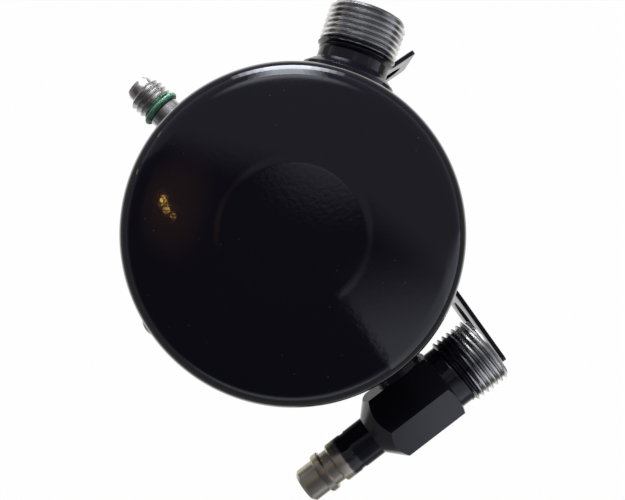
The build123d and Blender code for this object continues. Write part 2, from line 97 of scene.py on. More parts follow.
def apply_modifier(piece: bpy.types.Object, kind: str, **settings: object) -> None:
    """Add a modifier with its settings and apply it at once.

    Args:
        piece: the object to change.
        kind: the modifier's type.
        settings: the modifier's attributes.
    """
    make_active(piece)
    modifier = piece.modifiers.new(kind.title(), kind)
    for name, value in settings.items():
        setattr(modifier, name, value)
    bpy.ops.object.modifier_apply(modifier=modifier.name)


def close_seams(piece: bpy.types.Object, distance: float = 0.002 * MM) -> None:
    """Merge a turned mesh's doubled points and turn its faces outwards."""
    make_active(piece)
    bpy.ops.object.mode_set(mode="EDIT")
    bpy.ops.mesh.select_all(action="SELECT")
    bpy.ops.mesh.remove_doubles(threshold=distance)
    bpy.ops.mesh.normals_make_consistent(inside=False)
    bpy.ops.object.mode_set(mode="OBJECT")


def smooth(piece: bpy.types.Object, degrees: float = 32.0) -> None:
    """Shade a piece smooth up to this angle between faces."""
    make_active(piece)
    bpy.ops.object.shade_smooth_by_angle(angle=math.radians(degrees))


def drop(piece: bpy.types.Object) -> None:
    """Delete a helper object and its mesh."""
    mesh = piece.data
    bpy.data.objects.remove(piece)
    bpy.data.meshes.remove(mesh)


def combine(piece: bpy.types.Object, other: bpy.types.Object, operation: str) -> None:
    """Join, cut or intersect a piece with another, which is then deleted.

    Args:
        piece: the object that is kept.
        other: the object that is used up.
        operation: UNION, DIFFERENCE or INTERSECT.
    """
    apply_modifier(piece, "BOOLEAN", object=other, operation=operation, solver="EXACT")
    drop(other)


def outline_wire(name: str, points: list[Point]) -> bpy.types.Object:
    """Edge chain in the X-Y plane, drawn by extruding one point along an outline.

    Args:
        name: the object's name.
        points: (distance, radius) pairs in millimetres.

    Returns:
        The object, still in edit mode with all its points selected.
    """
    deselect_all()
    first = Vector((points[0][0], points[0][1], 0)) * MM
    bpy.ops.mesh.primitive_plane_add(size=MM, location=(0, 0, 0))
    piece = take_new(name)
    bpy.ops.object.mode_set(mode="EDIT")
    bpy.ops.mesh.select_all(action="SELECT")
    bpy.ops.mesh.merge(type="CENTER")
    bpy.ops.transform.translate(value=first)
    for start, end in zip(points, points[1:]):
        step = Vector((end[0] - start[0], end[1] - start[1], 0)) * MM
        bpy.ops.mesh.extrude_vertices_move(TRANSFORM_OT_translate={"value": step})
    bpy.ops.mesh.select_all(action="SELECT")
    return piece


def lathe(name: str, points: list[Point], steps: int = 128) -> bpy.types.Object:
    """Solid turned about X from an outline of (distance, radius) points in millimetres.

    An outline that starts and ends on the axis is closed by the spin. One that ends where
    it starts makes a ring.

    Args:
        name: the object's name.
        points: the outline, in order.
        steps: how many faces there are round the turn.

    Returns:
        The turned object about the world's X axis.
    """
    piece = outline_wire(name, points)
    bpy.ops.mesh.spin(
        steps=steps, angle=FULL_TURN, center=(0, 0, 0), axis=(1, 0, 0), use_auto_merge=False
    )
    bpy.ops.object.mode_set(mode="OBJECT")
    close_seams(piece)
    return piece


def arc(centre: Point, radius: float, start: float, end: float, count: int) -> list[Point]:
    """Points along an arc, in degrees from the outline's distance axis."""
    along, out = centre
    turns = [math.radians(start + (end - start) * index / count) for index in range(count + 1)]
    return [(along + radius * math.cos(turn), out + radius * math.sin(turn)) for turn in turns]


# Places of the fittings round the can


def radial_place(angle: float, height: float) -> Matrix:
    """Frame on the can's axis with X running outwards at this angle.

    Args:
        angle: degrees anticlockwise from the bracket's middle, seen from above.
        height: millimetres above the can's base.
    """
    return Matrix.Translation((0, 0, height * MM)) @ Matrix.Rotation(math.radians(angle), 4, "Z")


def outline_on_axis(points: list[Point]) -> list[Point]:
    """Close an outline along the turning axis."""
    return [(points[0][0], 0.0), *points, (points[-1][0], 0.0)]


# Materials


class Metal(Enum):
    """Bare metals by the hex colour of their polished face and their roughness."""

    TURNED_STEEL = ("#e4e2df", 0.22)
    BRIGHT_STEEL = ("#ccc9c4", 0.28)
    YELLOWED_STEEL = ("#c0b8a6", 0.32)
    DRAWN_WIRE = ("#bdbdbd", 0.25)
    TUBE_STEEL = ("#a9a8a6", 0.38)
    BRASS = ("#cda75e", 0.28)


def linear(hex_colour: str) -> tuple[float, float, float, float]:
    """Turn an sRGB hex colour to the linear values that a shader takes."""
    values = [int(hex_colour[index:index + 2], 16) / 255 for index in (1, 3, 5)]
    channels = [v / 12.92 if v <= 0.04045 else ((v + 0.055) / 1.055) ** 2.4 for v in values]
    return (*channels, 1.0)


def add_node(
    tree: bpy.types.NodeTree, kind: str, settings: dict | None = None, inputs: dict | None = None
) -> bpy.types.Node:
    """Add one shader node with its settings and links.

    Args:
        tree: the node tree that gets the node.
        kind: the node's type.
        settings: attributes of the node.
        inputs: socket names or numbers, each with a value or another node's output.

    Returns:
        The new node.
    """
    node = tree.nodes.new(kind)
    for name, value in (settings or {}).items():
        setattr(node, name, value)
    for socket, value in (inputs or {}).items():
        if isinstance(value, bpy.types.NodeSocket):
            tree.links.new(value, node.inputs[socket])
        else:
            node.inputs[socket].default_value = value
    return node


def ramp(tree: bpy.types.NodeTree, factor: bpy.types.NodeSocket, stops: list[tuple]) -> bpy.types.Node:
    """Colour ramp with the given stops.

    Args:
        tree: the node tree.
        factor: what drives the ramp.
        stops: (position, linear colour) pairs in rising order.
    """
    node = add_node(tree, "ShaderNodeValToRGB", inputs={"Fac": factor})
    while len(node.color_ramp.elements) < len(stops):
        node.color_ramp.elements.new(0.5)
    for element, (position, colour) in zip(node.color_ramp.elements, stops):
        element.position = position
        element.color = colour
    return node


def grey(value: float) -> tuple[float, float, float, float]:
    """Linear grey."""
    return (value, value, value, 1.0)


def fresh_material(name: str) -> tuple[bpy.types.Material, bpy.types.NodeTree, bpy.types.Node]:
    """New material with only its surface shader, which is handed back with the tree."""
    material = bpy.data.materials.new(name)
    material.use_nodes = True
    tree = material.node_tree
    shader = next(node for node in tree.nodes if node.type == "BSDF_PRINCIPLED")
    return material, tree, shader


def object_point(tree: bpy.types.NodeTree, place: Matrix | None = None) -> bpy.types.NodeSocket:
    """Object coordinates in millimetres, seen from a fitting's own frame where one is given.

    Args:
        tree: the node tree.
        place: the fitting's frame; its X axis becomes the pattern's X.
    """
    coordinates = add_node(tree, "ShaderNodeTexCoord").outputs["Object"]
    if place is None:
        place = Matrix.Identity(4)
    inverse = place.inverted()
    mapping = add_node(
        tree,
        "ShaderNodeMapping",
        {"vector_type": "POINT"},
        {
            "Vector": coordinates,
            "Location": inverse.to_translation() / MM,
            "Rotation": inverse.to_euler(),
            "Scale": (1 / MM,) * 3,
        },
    )
    return mapping.outputs["Vector"]


@dataclass(frozen=True)
class Enamel:
    """Black stoving enamel sprayed over steel: deep gloss, faint orange peel, some dust.

    The resin's IOR of 1.5 gives the eye a dark mirror, and the peel breaks the edges of
    what it mirrors. Dust that fell in the wet coat shows as fine pale dots.
    """

    name: str
    colour: str = "#110c17"
    roughness: float = 0.06
    peel_width: float = 1.4
    peel_depth: float = 0.012
    dust_spacing: float = 3.6
    dust_radius: float = 0.20

    def material(self) -> bpy.types.Material:
        """Build the material."""
        material, tree, shader = fresh_material(self.name)
        point = object_point(tree)
        peel = add_node(
            tree,
            "ShaderNodeTexNoise",
            inputs={"Vector": point, "Scale": 1 / self.peel_width, "Detail": 1.5},
        )
        cells = add_node(
            tree,
            "ShaderNodeTexVoronoi",
            {"feature": "F1"},
            {"Vector": point, "Scale": 1 / self.dust_spacing, "Randomness": 1.0},
        )
        edge = self.dust_radius / self.dust_spacing
        dust = add_node(
            tree,
            "ShaderNodeMapRange",
            {"clamp": True},
            {"Value": cells.outputs["Distance"], "From Min": edge, "From Max": edge * 0.4,
             "To Min": 0.0, "To Max": 1.0},
        )
        colour = ramp(tree, dust.outputs[0], [(0.0, linear(self.colour)), (1.0, linear("#55525a"))])
        tree.links.new(colour.outputs["Color"], shader.inputs["Base Color"])
        bump = add_node(
            tree,
            "ShaderNodeBump",
            inputs={"Strength": 1.0, "Distance": self.peel_depth * MM, "Height": peel.outputs["Fac"]},
        )
        tree.links.new(bump.outputs["Normal"], shader.inputs["Normal"])
        shader.inputs["Roughness"].default_value = self.roughness
        shader.inputs["IOR"].default_value = 1.5
        return material


@dataclass(frozen=True)
class PaintedSteel:
    """Turned free-cutting steel with the can's black enamel sprayed over one end.

    The tool's fine rings catch the light as lines across the axis. The spray's edge wanders
    a little and thins out, so the boundary is soft and uneven.
    """

    name: str
    place: Matrix
    metal: Metal = Metal.TURNED_STEEL
    paint_low: float = -1e3
    paint_high: float = 0.0
    edge_softness: float = 0.5
    edge_wander: float = 1.2
    crest: float = 13.5
    groove_depth: float = 1.1
    groove_run: float = 0.0
    # groove_shade: how far the painted shade darkens the steel at the thread's roots, 1 for none
    groove_shade: float = 1.0
    slant: float = 0.0
    enamel: str = "#19151e"
    ring_pitch: float = 0.12
    stain: str = "#a6a7a7"
    far_metal: Metal | None = None

    def radius(self, tree: bpy.types.NodeTree, point: bpy.types.NodeSocket) -> bpy.types.NodeSocket:
        """Distance from the fitting's axis, in millimetres."""
        out = add_node(
            tree, "ShaderNodeVectorMath", {"operation": "MULTIPLY"}, {0: point, 1: (0, 1, 1)}
        )
        length = add_node(
            tree, "ShaderNodeVectorMath", {"operation": "LENGTH"}, {0: out.outputs[0]}
        )
        return length.outputs["Value"]

    def painted_end(
        self, tree: bpy.types.NodeTree, point: bpy.types.NodeSocket, along: bpy.types.NodeSocket
    ) -> bpy.types.NodeSocket:
        """Distance along the axis, less what the paint gains in the grooves and on one side."""
        groove = add_node(
            tree, "ShaderNodeMapRange", {},
            {"Value": self.radius(tree, point), "From Min": self.crest - self.groove_depth,
             "From Max": self.crest, "To Min": -self.groove_run, "To Max": 0.0},
        )
        lean = add_node(
            tree, "ShaderNodeVectorMath", {"operation": "DOT_PRODUCT"},
            {0: point, 1: (0, -self.slant, 0)},
        )
        gain = add_node(
            tree, "ShaderNodeMath", {"operation": "ADD"},
            {0: groove.outputs[0], 1: lean.outputs["Value"]},
        )
        end = add_node(
            tree, "ShaderNodeMath", {"operation": "ADD"}, {0: along, 1: gain.outputs[0]}
        )
        return end.outputs[0]

    def paint_mask(self, tree: bpy.types.NodeTree, point: bpy.types.NodeSocket) -> tuple:
        """Where the enamel lies, from 0 on bare steel to 1 under full paint.

        Returns:
            The mask, and the mask of everything past the paint's lower edge.
        """
        split = add_node(tree, "ShaderNodeSeparateXYZ", inputs={0: point})
        wander = add_node(
            tree, "ShaderNodeTexNoise", inputs={"Vector": point, "Scale": 0.5, "Detail": 3.0}
        )
        shift = add_node(
            tree,
            "ShaderNodeMath",
            {"operation": "MULTIPLY_ADD"},
            {0: wander.outputs["Fac"], 1: self.edge_wander, 2: split.outputs["X"]},
        )
        middle = self.paint_high + self.edge_wander / 2
        high = add_node(
            tree,
            "ShaderNodeMapRange",
            {"interpolation_type": "SMOOTHSTEP"},
            {"Value": self.painted_end(tree, point, shift.outputs[0]),
             "From Min": middle + self.edge_softness,
             "From Max": middle - self.edge_softness, "To Min": 0.0, "To Max": 1.0},
        )
        low_middle = self.paint_low + self.edge_wander / 2
        low = add_node(
            tree,
            "ShaderNodeMapRange",
            {"interpolation_type": "SMOOTHSTEP"},
            {"Value": shift.outputs[0], "From Min": low_middle - self.edge_softness,
             "From Max": low_middle + self.edge_softness, "To Min": 0.0, "To Max": 1.0},
        )
        both = add_node(
            tree, "ShaderNodeMath", {"operation": "MULTIPLY"}, {0: high.outputs[0], 1: low.outputs[0]}
        )
        return both.outputs[0], low.outputs[0]

    def material(self) -> bpy.types.Material:
        """Build the material."""
        material, tree, shader = fresh_material(self.name)
        point = object_point(tree, self.place)
        mask, past_low = self.paint_mask(tree, point)
        stretched = add_node(
            tree, "ShaderNodeVectorMath", {"operation": "MULTIPLY"},
            {0: point, 1: (1 / self.ring_pitch, 0.25, 0.25)},
        )
        rings = add_node(
            tree, "ShaderNodeTexNoise", inputs={"Vector": stretched.outputs[0], "Scale": 1.0, "Detail": 2.0}
        )
        stains = add_node(
            tree, "ShaderNodeTexNoise", inputs={"Vector": point, "Scale": 0.16, "Detail": 4.0}
        )
        base, roughness = self.metal.value
        steel = ramp(
            tree, stains.outputs["Fac"],
            [(0.3, linear(base)), (0.5, linear(base)), (0.72, linear(self.stain))],
        )
        # Painted shade: the bare steel's colour is darkened towards the roots of the thread's grooves
        shade = add_node(
            tree, "ShaderNodeMapRange", {"interpolation_type": "SMOOTHSTEP"},
            {"Value": self.radius(tree, point), "From Min": self.crest - self.groove_depth,
             "From Max": self.crest - 0.1, "To Min": self.groove_shade, "To Max": 1.0},
        )
        shaded = add_node(
            tree, "ShaderNodeMix", {"data_type": "RGBA", "blend_type": "MULTIPLY"},
            {"Factor": 1.0, 6: steel.outputs["Color"], 7: shade.outputs[0]},
        )
        far_base, far_roughness = (self.far_metal or self.metal).value
        bare_colour = add_node(
            tree, "ShaderNodeMix", {"data_type": "RGBA"},
            {"Factor": past_low, 6: linear(far_base), 7: shaded.outputs[2]},
        )
        colour = add_node(
            tree, "ShaderNodeMix", {"data_type": "RGBA"},
            {"Factor": mask, 6: bare_colour.outputs[2], 7: linear(self.enamel)},
        )
        tree.links.new(colour.outputs[2], shader.inputs["Base Color"])
        bare = add_node(
            tree, "ShaderNodeMath", {"operation": "SUBTRACT", "use_clamp": True}, {0: 1.0, 1: mask}
        )
        tree.links.new(bare.outputs[0], shader.inputs["Metallic"])
        bare_roughness = add_node(
            tree, "ShaderNodeMix", {"data_type": "FLOAT"},
            {"Factor": past_low, 2: far_roughness, 3: roughness},
        )
        spread = add_node(
            tree, "ShaderNodeMapRange", {},
            {"Value": rings.outputs["Fac"], "From Min": 0.3, "From Max": 0.7,
             "To Min": -0.04, "To Max": 0.08},
        )
        uneven = add_node(
            tree, "ShaderNodeMath", {"operation": "ADD"},
            {0: bare_roughness.outputs[0], 1: spread.outputs[0]},
        )
        rough = add_node(
            tree, "ShaderNodeMix", {"data_type": "FLOAT"}, {"Factor": mask, 2: uneven.outputs[0], 3: 0.16}
        )
        tree.links.new(rough.outputs[0], shader.inputs["Roughness"])
        bump = add_node(
            tree, "ShaderNodeBump",
            inputs={"Strength": 0.5, "Distance": 0.01 * MM, "Height": rings.outputs["Fac"]},
        )
        tree.links.new(bump.outputs["Normal"], shader.inputs["Normal"])
        return material


@dataclass(frozen=True)
class Rubber:
    """Moulded nitrile rubber: dull sheen, evenly coloured, with a faint bloom."""

    name: str
    colour: str
    bloom: str
    roughness: float = 0.38

    def material(self) -> bpy.types.Material:
        """Build the material."""
        material, tree, shader = fresh_material(self.name)
        point = object_point(tree)
        cloud = add_node(tree, "ShaderNodeTexNoise", inputs={"Vector": point, "Scale": 0.9, "Detail": 3.0})
        colour = ramp(tree, cloud.outputs["Fac"], [(0.35, linear(self.colour)), (0.75, linear(self.bloom))])
        tree.links.new(colour.outputs["Color"], shader.inputs["Base Color"])
        shader.inputs["Roughness"].default_value = self.roughness
        shader.inputs["IOR"].default_value = 1.52
        return material


@dataclass(frozen=True)
class PlainMetal:
    """Metal with no paint: a small turned, drawn or rolled piece with fine scratches."""

    name: str
    metal: Metal
    scratch_width: float = 0.4

    def material(self) -> bpy.types.Material:
        """Build the material."""
        material, tree, shader = fresh_material(self.name)
        base, roughness = self.metal.value
        point = object_point(tree)
        grain = add_node(
            tree,
            "ShaderNodeTexNoise",
            inputs={"Vector": point, "Scale": 1 / self.scratch_width, "Detail": 3.0},
        )
        shade = ramp(tree, grain.outputs["Fac"], [(0.2, grey(0.75)), (0.8, grey(1.0))])
        colour = add_node(
            tree, "ShaderNodeMix", {"data_type": "RGBA", "blend_type": "MULTIPLY"},
            {"Factor": 1.0, 6: linear(base), 7: shade.outputs["Color"]},
        )
        tree.links.new(colour.outputs[2], shader.inputs["Base Color"])
        bump = add_node(
            tree, "ShaderNodeBump",
            inputs={"Strength": 0.4, "Distance": 0.01 * MM, "Height": grain.outputs["Fac"]},
        )
        tree.links.new(bump.outputs["Normal"], shader.inputs["Normal"])
        shader.inputs["Metallic"].default_value = 1.0
        shader.inputs["Roughness"].default_value = roughness
        return material


@dataclass(frozen=True)
class MouldedNylon:
    """Natural nylon, injection moulded: milky, slightly translucent look and soft sheen."""

    name: str
    colour: str
    grain: float = 0.6

    def material(self) -> bpy.types.Material:
        """Build the material."""
        material, tree, shader = fresh_material(self.name)
        point = object_point(tree)
        cloud = add_node(
            tree, "ShaderNodeTexNoise", inputs={"Vector": point, "Scale": self.grain, "Detail": 2.0}
        )
        shade = ramp(tree, cloud.outputs["Fac"], [(0.3, grey(0.88)), (0.7, grey(1.0))])
        colour = add_node(
            tree, "ShaderNodeMix", {"data_type": "RGBA", "blend_type": "MULTIPLY"},
            {"Factor": 1.0, 6: linear(self.colour), 7: shade.outputs["Color"]},
        )
        tree.links.new(colour.outputs[2], shader.inputs["Base Color"])
        shader.inputs["Roughness"].default_value = 0.45
        return material


@dataclass(frozen=True)
class Felt:
    """Needled polyester felt: matt, fibrous, and slightly uneven in tone."""

    name: str
    colour: str = "#d9d5c9"
    fibre: float = 0.35

    def material(self) -> bpy.types.Material:
        """Build the material."""
        material, tree, shader = fresh_material(self.name)
        point = object_point(tree)
        fibres = add_node(
            tree, "ShaderNodeTexNoise", inputs={"Vector": point, "Scale": 1 / self.fibre, "Detail": 5.0}
        )
        shade = ramp(tree, fibres.outputs["Fac"], [(0.25, grey(0.72)), (0.75, grey(1.0))])
        colour = add_node(
            tree, "ShaderNodeMix", {"data_type": "RGBA", "blend_type": "MULTIPLY"},
            {"Factor": 1.0, 6: linear(self.colour), 7: shade.outputs["Color"]},
        )
        tree.links.new(colour.outputs[2], shader.inputs["Base Color"])
        bump = add_node(
            tree, "ShaderNodeBump",
            inputs={"Strength": 0.8, "Distance": 0.15 * MM, "Height": fibres.outputs["Fac"]},
        )
        tree.links.new(bump.outputs["Normal"], shader.inputs["Normal"])
        shader.inputs["Roughness"].default_value = 0.95
        return material


def wear(piece: bpy.types.Object, material: bpy.types.Material) -> None:
    """Give every face of a piece this material."""
    piece.data.materials.clear()
    piece.data.materials.append(material)


# Threads


@dataclass(frozen=True)
class Thread:
    """External 60 degree thread, swept along its helix and trimmed by a chamfer.

    All sizes are in millimetres along the fitting's X axis. The lead is the share of a
    pitch by which the helix is shifted, which turns its crests round the axis.
    """

    pitch: float
    diameter: float
    start: float
    end: float
    start_chamfer: float = 0.9
    end_chamfer: float = 1.2
    depth_share: float = 0.60
    steps: int = 96
    lead: float = 0.0

    @property
    def root_radius(self) -> float:
        """Radius at the bottom of the groove."""
        return self.diameter / 2 - self.depth_share * self.pitch

    def outline(self) -> list[Point]:
        """One pitch of the thread's form, from root to root."""
        crest = self.diameter / 2
        depth = crest - self.root_radius
        form = [
            (0.0, 0.0), (0.16, 0.0), (0.49, 0.93), (0.53, 1.0), (0.63, 1.0), (0.67, 0.93), (1.0, 0.0),
        ]
        return [(along * self.pitch, self.root_radius + share * depth) for along, share in form]

    def build(self, name: str) -> bpy.types.Object:
        """Closed threaded sleeve about X, between the two ends.

        Args:
            name: the object's name.

        Returns:
            The sleeve, whose inner wall lies under the thread's root.
        """
        turns = math.ceil((self.end - self.start) / self.pitch) + 2
        piece = outline_wire(name, self.outline())
        first = self.start + (self.lead - 1.5) * self.pitch
        bpy.ops.transform.translate(value=(first * MM, 0, 0))
        bpy.ops.object.mode_set(mode="OBJECT")
        apply_modifier(
            piece, "SCREW", axis="X", angle=FULL_TURN, screw_offset=self.pitch * MM, iterations=turns,
            steps=self.steps, render_steps=self.steps, use_merge_vertices=True,
            merge_threshold=0.001 * MM, use_smooth_shade=False,
        )
        close_seams(piece)
        self.trim(piece)
        self.close(piece)
        return piece

    def trim(self, piece: bpy.types.Object) -> None:
        """Cut both ends square and turn the crests down to the chamfers."""
        make_active(piece)
        bpy.ops.object.mode_set(mode="EDIT")
        for place, outer in ((self.start, False), (self.end, True)):
            bpy.ops.mesh.select_all(action="SELECT")
            bpy.ops.mesh.bisect(
                plane_co=(place * MM, 0, 0), plane_no=(1, 0, 0), use_fill=False,
                clear_inner=not outer, clear_outer=outer, threshold=1e-7,
            )
        bpy.ops.object.mode_set(mode="OBJECT")
        crest = self.diameter / 2
        for vertex in piece.data.vertices:
            along = vertex.co.x / MM
            limit = min(
                crest,
                crest - self.start_chamfer + (along - self.start),
                crest - self.end_chamfer + (self.end - along),
            )
            radius = math.hypot(vertex.co.y, vertex.co.z) / MM
            if radius > limit:
                vertex.co.y *= limit / radius
                vertex.co.z *= limit / radius
        piece.data.update()

    def close(self, piece: bpy.types.Object) -> None:
        """Turn both open ends inwards and bridge them with an inner wall."""
        inner = (self.root_radius - 1.0) * MM
        make_active(piece)
        bpy.ops.object.mode_set(mode="EDIT")
        bpy.ops.mesh.select_all(action="SELECT")
        bpy.ops.mesh.region_to_loop()
        bpy.ops.mesh.extrude_edges_move(TRANSFORM_OT_translate={"value": (0, 0, 0)})
        bpy.ops.object.mode_set(mode="OBJECT")
        for vertex in piece.data.vertices:
            if vertex.select:
                radius = math.hypot(vertex.co.y, vertex.co.z)
                vertex.co.y *= inner / radius
                vertex.co.z *= inner / radius
        bpy.ops.object.mode_set(mode="EDIT")
        bpy.ops.mesh.bridge_edge_loops()
        bpy.ops.object.mode_set(mode="OBJECT")
        close_seams(piece)


UNIFIED_PITCH = 25.4 / 14


# Sub-assemblies


@dataclass
class Can:
    """The two drawn cups, the beads that join everything to them, and the relief plug."""

    radius: float = 47.625
    wall: float = 2.5
    height: float = 208.7
    knuckle: float = 8.0
    edge_slope: float = 12.0
    crown_radius: float = 150.0
    disc_radius: float = 19.15
    disc_rise: float = 0.25
    disc_edge: float = 1.7
    disc_round: float = 11.0
    seam: float = 76.0
    step_length: float = 3.0
    bead_rise: float = 1.3
    bead_width: float = 7.0
    weld_leg: float = 1.8
    ripple_pitch: float = 1.6
    steps: int = 256
    openings: list[tuple[float, float, float]] = field(
        default_factory=lambda: [
            (37.0, 145.0, 11.5), (-86.52, 169.0, 9.5), (102.4, 158.0, 5.0), (178.3, 147.0, 6.0)
        ]
    )

    def crown_outline(self) -> list[Point]:
        """Outer outline from the crown's middle down to the knuckle's foot.

        Returns:
            (height, radius) points.
        """
        slope = math.radians(self.edge_slope)
        lean = self.knuckle - self.crown_radius
        centre_radius = self.radius - self.knuckle + lean * math.sin(slope)
        foot_lean = math.asin((self.disc_radius + self.disc_edge - centre_radius) / self.crown_radius)
        rise = lean * math.cos(slope) + self.crown_radius * math.cos(foot_lean)
        knuckle_height = self.height - self.disc_rise - rise
        centre_height = knuckle_height + lean * math.cos(slope)
        foot = (self.height - self.disc_rise, self.disc_radius + self.disc_edge)
        edge = (self.height, self.disc_radius)
        across = (self.height, 0.0)
        past = (
            centre_height + self.crown_radius * math.cos(foot_lean * 1.6),
            centre_radius + self.crown_radius * math.sin(foot_lean * 1.6),
        )
        points = rounded_corner(across, edge, foot, self.disc_round, 8)
        points += rounded_corner(edge, foot, past, self.disc_round, 8)
        start = math.degrees(math.asin((points[-1][1] - centre_radius) / self.crown_radius))
        points += arc((centre_height, centre_radius), self.crown_radius, start, self.edge_slope, 24)[1:]
        points += arc(
            (knuckle_height, self.radius - self.knuckle), self.knuckle, self.edge_slope, 90.0, 24
        )[1:]
        return points

    def upper_shell(self) -> bpy.types.Object:
        """Upper cup with holes behind its fittings."""
        top = [(self.height, 7.0), (self.height, 14.0)]
        outer = [(self.height, 0.0), *top, *self.crown_outline()]
        low = self.seam + self.step_length / 2
        inner_radius = self.radius - self.wall
        inner_top = self.height - self.disc_rise - 8.0
        points = outer + [
            (low, self.radius), (low, inner_radius), (inner_top - 4.0, inner_radius),
            (inner_top, inner_radius - 5.0), (self.height - self.wall - 1.0, 18.0),
            (self.height - self.wall - 1.0, 0.0),
        ]
        piece = lathe("upper_shell_formed", points, self.steps)
        settle(piece, Matrix.Rotation(-math.pi / 2, 4, "Y"))
        for angle, height, radius in self.openings:
            cutter = lathe("opening", outline_on_axis([(30.0, radius + 0.05), (60.0, radius + 0.05)]), 64)
            settle(cutter, radial_place(angle, height))
            combine(piece, cutter, "DIFFERENCE")
        smooth(piece, 30.0)
        return piece

    def lower_shell(self) -> bpy.types.Object:
        """Lower cup with its flat base and the rim stepped in under the seam."""
        low = self.seam - self.step_length / 2
        high = self.seam + self.step_length / 2
        inner = self.radius - self.wall
        base = arc((self.knuckle, self.radius - self.knuckle), self.knuckle, 180.0, 90.0, 24)
        inside = arc((self.knuckle, self.radius - self.knuckle), self.knuckle - self.wall, 90.0, 180.0, 12)
        lap = high + 10.0
        points = [
            (0.0, 0.0), (0.0, 20.0), *base, (low, self.radius), (high, inner - 0.05),
            (lap, inner - 0.05), (lap, inner - self.wall), (high, inner - self.wall),
            (low, inner), *inside, (self.wall, 0.0),
        ]
        piece = lathe("lower_shell_formed", points, self.steps)
        settle(piece, Matrix.Rotation(-math.pi / 2, 4, "Y"))
        smooth(piece, 30.0)
        return piece

    def girth_weld(self) -> bpy.types.Object:
        """Machine-laid bead with its ripples, round the seam."""
        half = self.bead_width / 2
        crest = [
            (self.seam + half * math.cos(turn), self.radius + self.bead_rise * math.sin(turn))
            for turn in [math.pi * index / 10 for index in range(11)]
        ]
        root = [(self.seam - 1.5, self.radius), (self.seam + 1.5, self.radius - self.wall)]
        outline = [*crest, *root, (self.seam + 1.5, self.radius), crest[0]]
        piece = lathe("girth_weld_bead", outline, 3 * self.steps)
        settle(piece, Matrix.Rotation(-math.pi / 2, 4, "Y"))
        count = round(FULL_TURN * self.radius / self.ripple_pitch)
        for vertex in piece.data.vertices:
            radius = math.hypot(vertex.co.x, vertex.co.y)
            proud = radius / MM - self.radius
            if proud > 0.05:
                turn = math.atan2(vertex.co.y, vertex.co.x)
                bow = (vertex.co.z / MM - self.seam) / half
                ripple = 0.09 * math.sin(count * turn + 1.6 * bow * bow) * proud / self.bead_rise
                factor = (radius + ripple * MM) / radius
                vertex.co.x *= factor
                vertex.co.y *= factor
        smooth(piece, 60.0)
        return piece

    def fitting_weld(self, name: str, angle: float, height: float, radius: float) -> bpy.types.Object:
        """Fillet bead that follows the can's wall round a fitting.

        Args:
            name: the bead's name.
            angle: the fitting's angle in degrees.
            height: the fitting's height in millimetres.
            radius: the fitting's radius in millimetres.
        """
        deselect_all()
        leg = self.weld_leg
        bpy.ops.mesh.primitive_torus_add(
            major_radius=(radius + leg * 0.22) * MM, minor_radius=leg * 0.74 * MM,
            major_segments=160, minor_segments=20, rotation=(0, math.pi / 2, 0),
        )
        piece = take_new(name)
        settle(piece, Matrix.Translation((self.radius * MM, 0, 0)))
        count = round(FULL_TURN * radius / self.ripple_pitch)
        wall = self.radius * MM
        for vertex in piece.data.vertices:
            turn = math.atan2(vertex.co.z, vertex.co.y)
            swell = 1.0 + 0.06 * math.sin(count * turn)
            fall = wall - math.sqrt(wall * wall - vertex.co.y * vertex.co.y)
            vertex.co.x = wall + (vertex.co.x - wall) * swell - fall
        settle(piece, radial_place(angle, height))
        smooth(piece, 60.0)
        return piece

    def relief_plug(self) -> bpy.types.Object:
        """Domed plug of the relief boss, with a soft edge under its head."""
        head = 6.0
        base = 53.0
        centre = 58.9 - head
        points = [(47.0, 0.0), (47.0, 3.95), (base, 3.95), (base, head - 0.4), (base + 0.3, head)]
        points += arc((centre, 0.0), head, 90.0, 0.0, 20)
        piece = lathe("relief_plug_domed", points, 96)
        settle(piece, radial_place(178.3, 147.0))
        smooth(piece, 40.0)
        return piece


def rounded_corner(before: Point, corner: Point, after: Point, radius: float, count: int) -> list[Point]:
    """Points of the arc that rounds an outline's corner.

    Args:
        before: the point that the outline comes from.
        corner: the sharp corner.
        after: the point that the outline goes to.
        radius: the round's radius.
        count: how many steps the arc has.

    Returns:
        The arc's points, from the first tangent point to the second.
    """
    here = Vector(corner)
    back = (Vector(before) - here).normalized()
    ahead = (Vector(after) - here).normalized()
    half = back.angle(ahead) / 2
    reach = radius / math.tan(half)
    start = here + back * reach
    end = here + ahead * reach
    centre = here + (back + ahead).normalized() * (radius / math.sin(half))
    first = start - centre
    total = first.angle_signed(end - centre)
    turned = [Matrix.Rotation(-total * index / count, 2) @ first for index in range(count + 1)]
    return [tuple(centre + arm) for arm in turned]


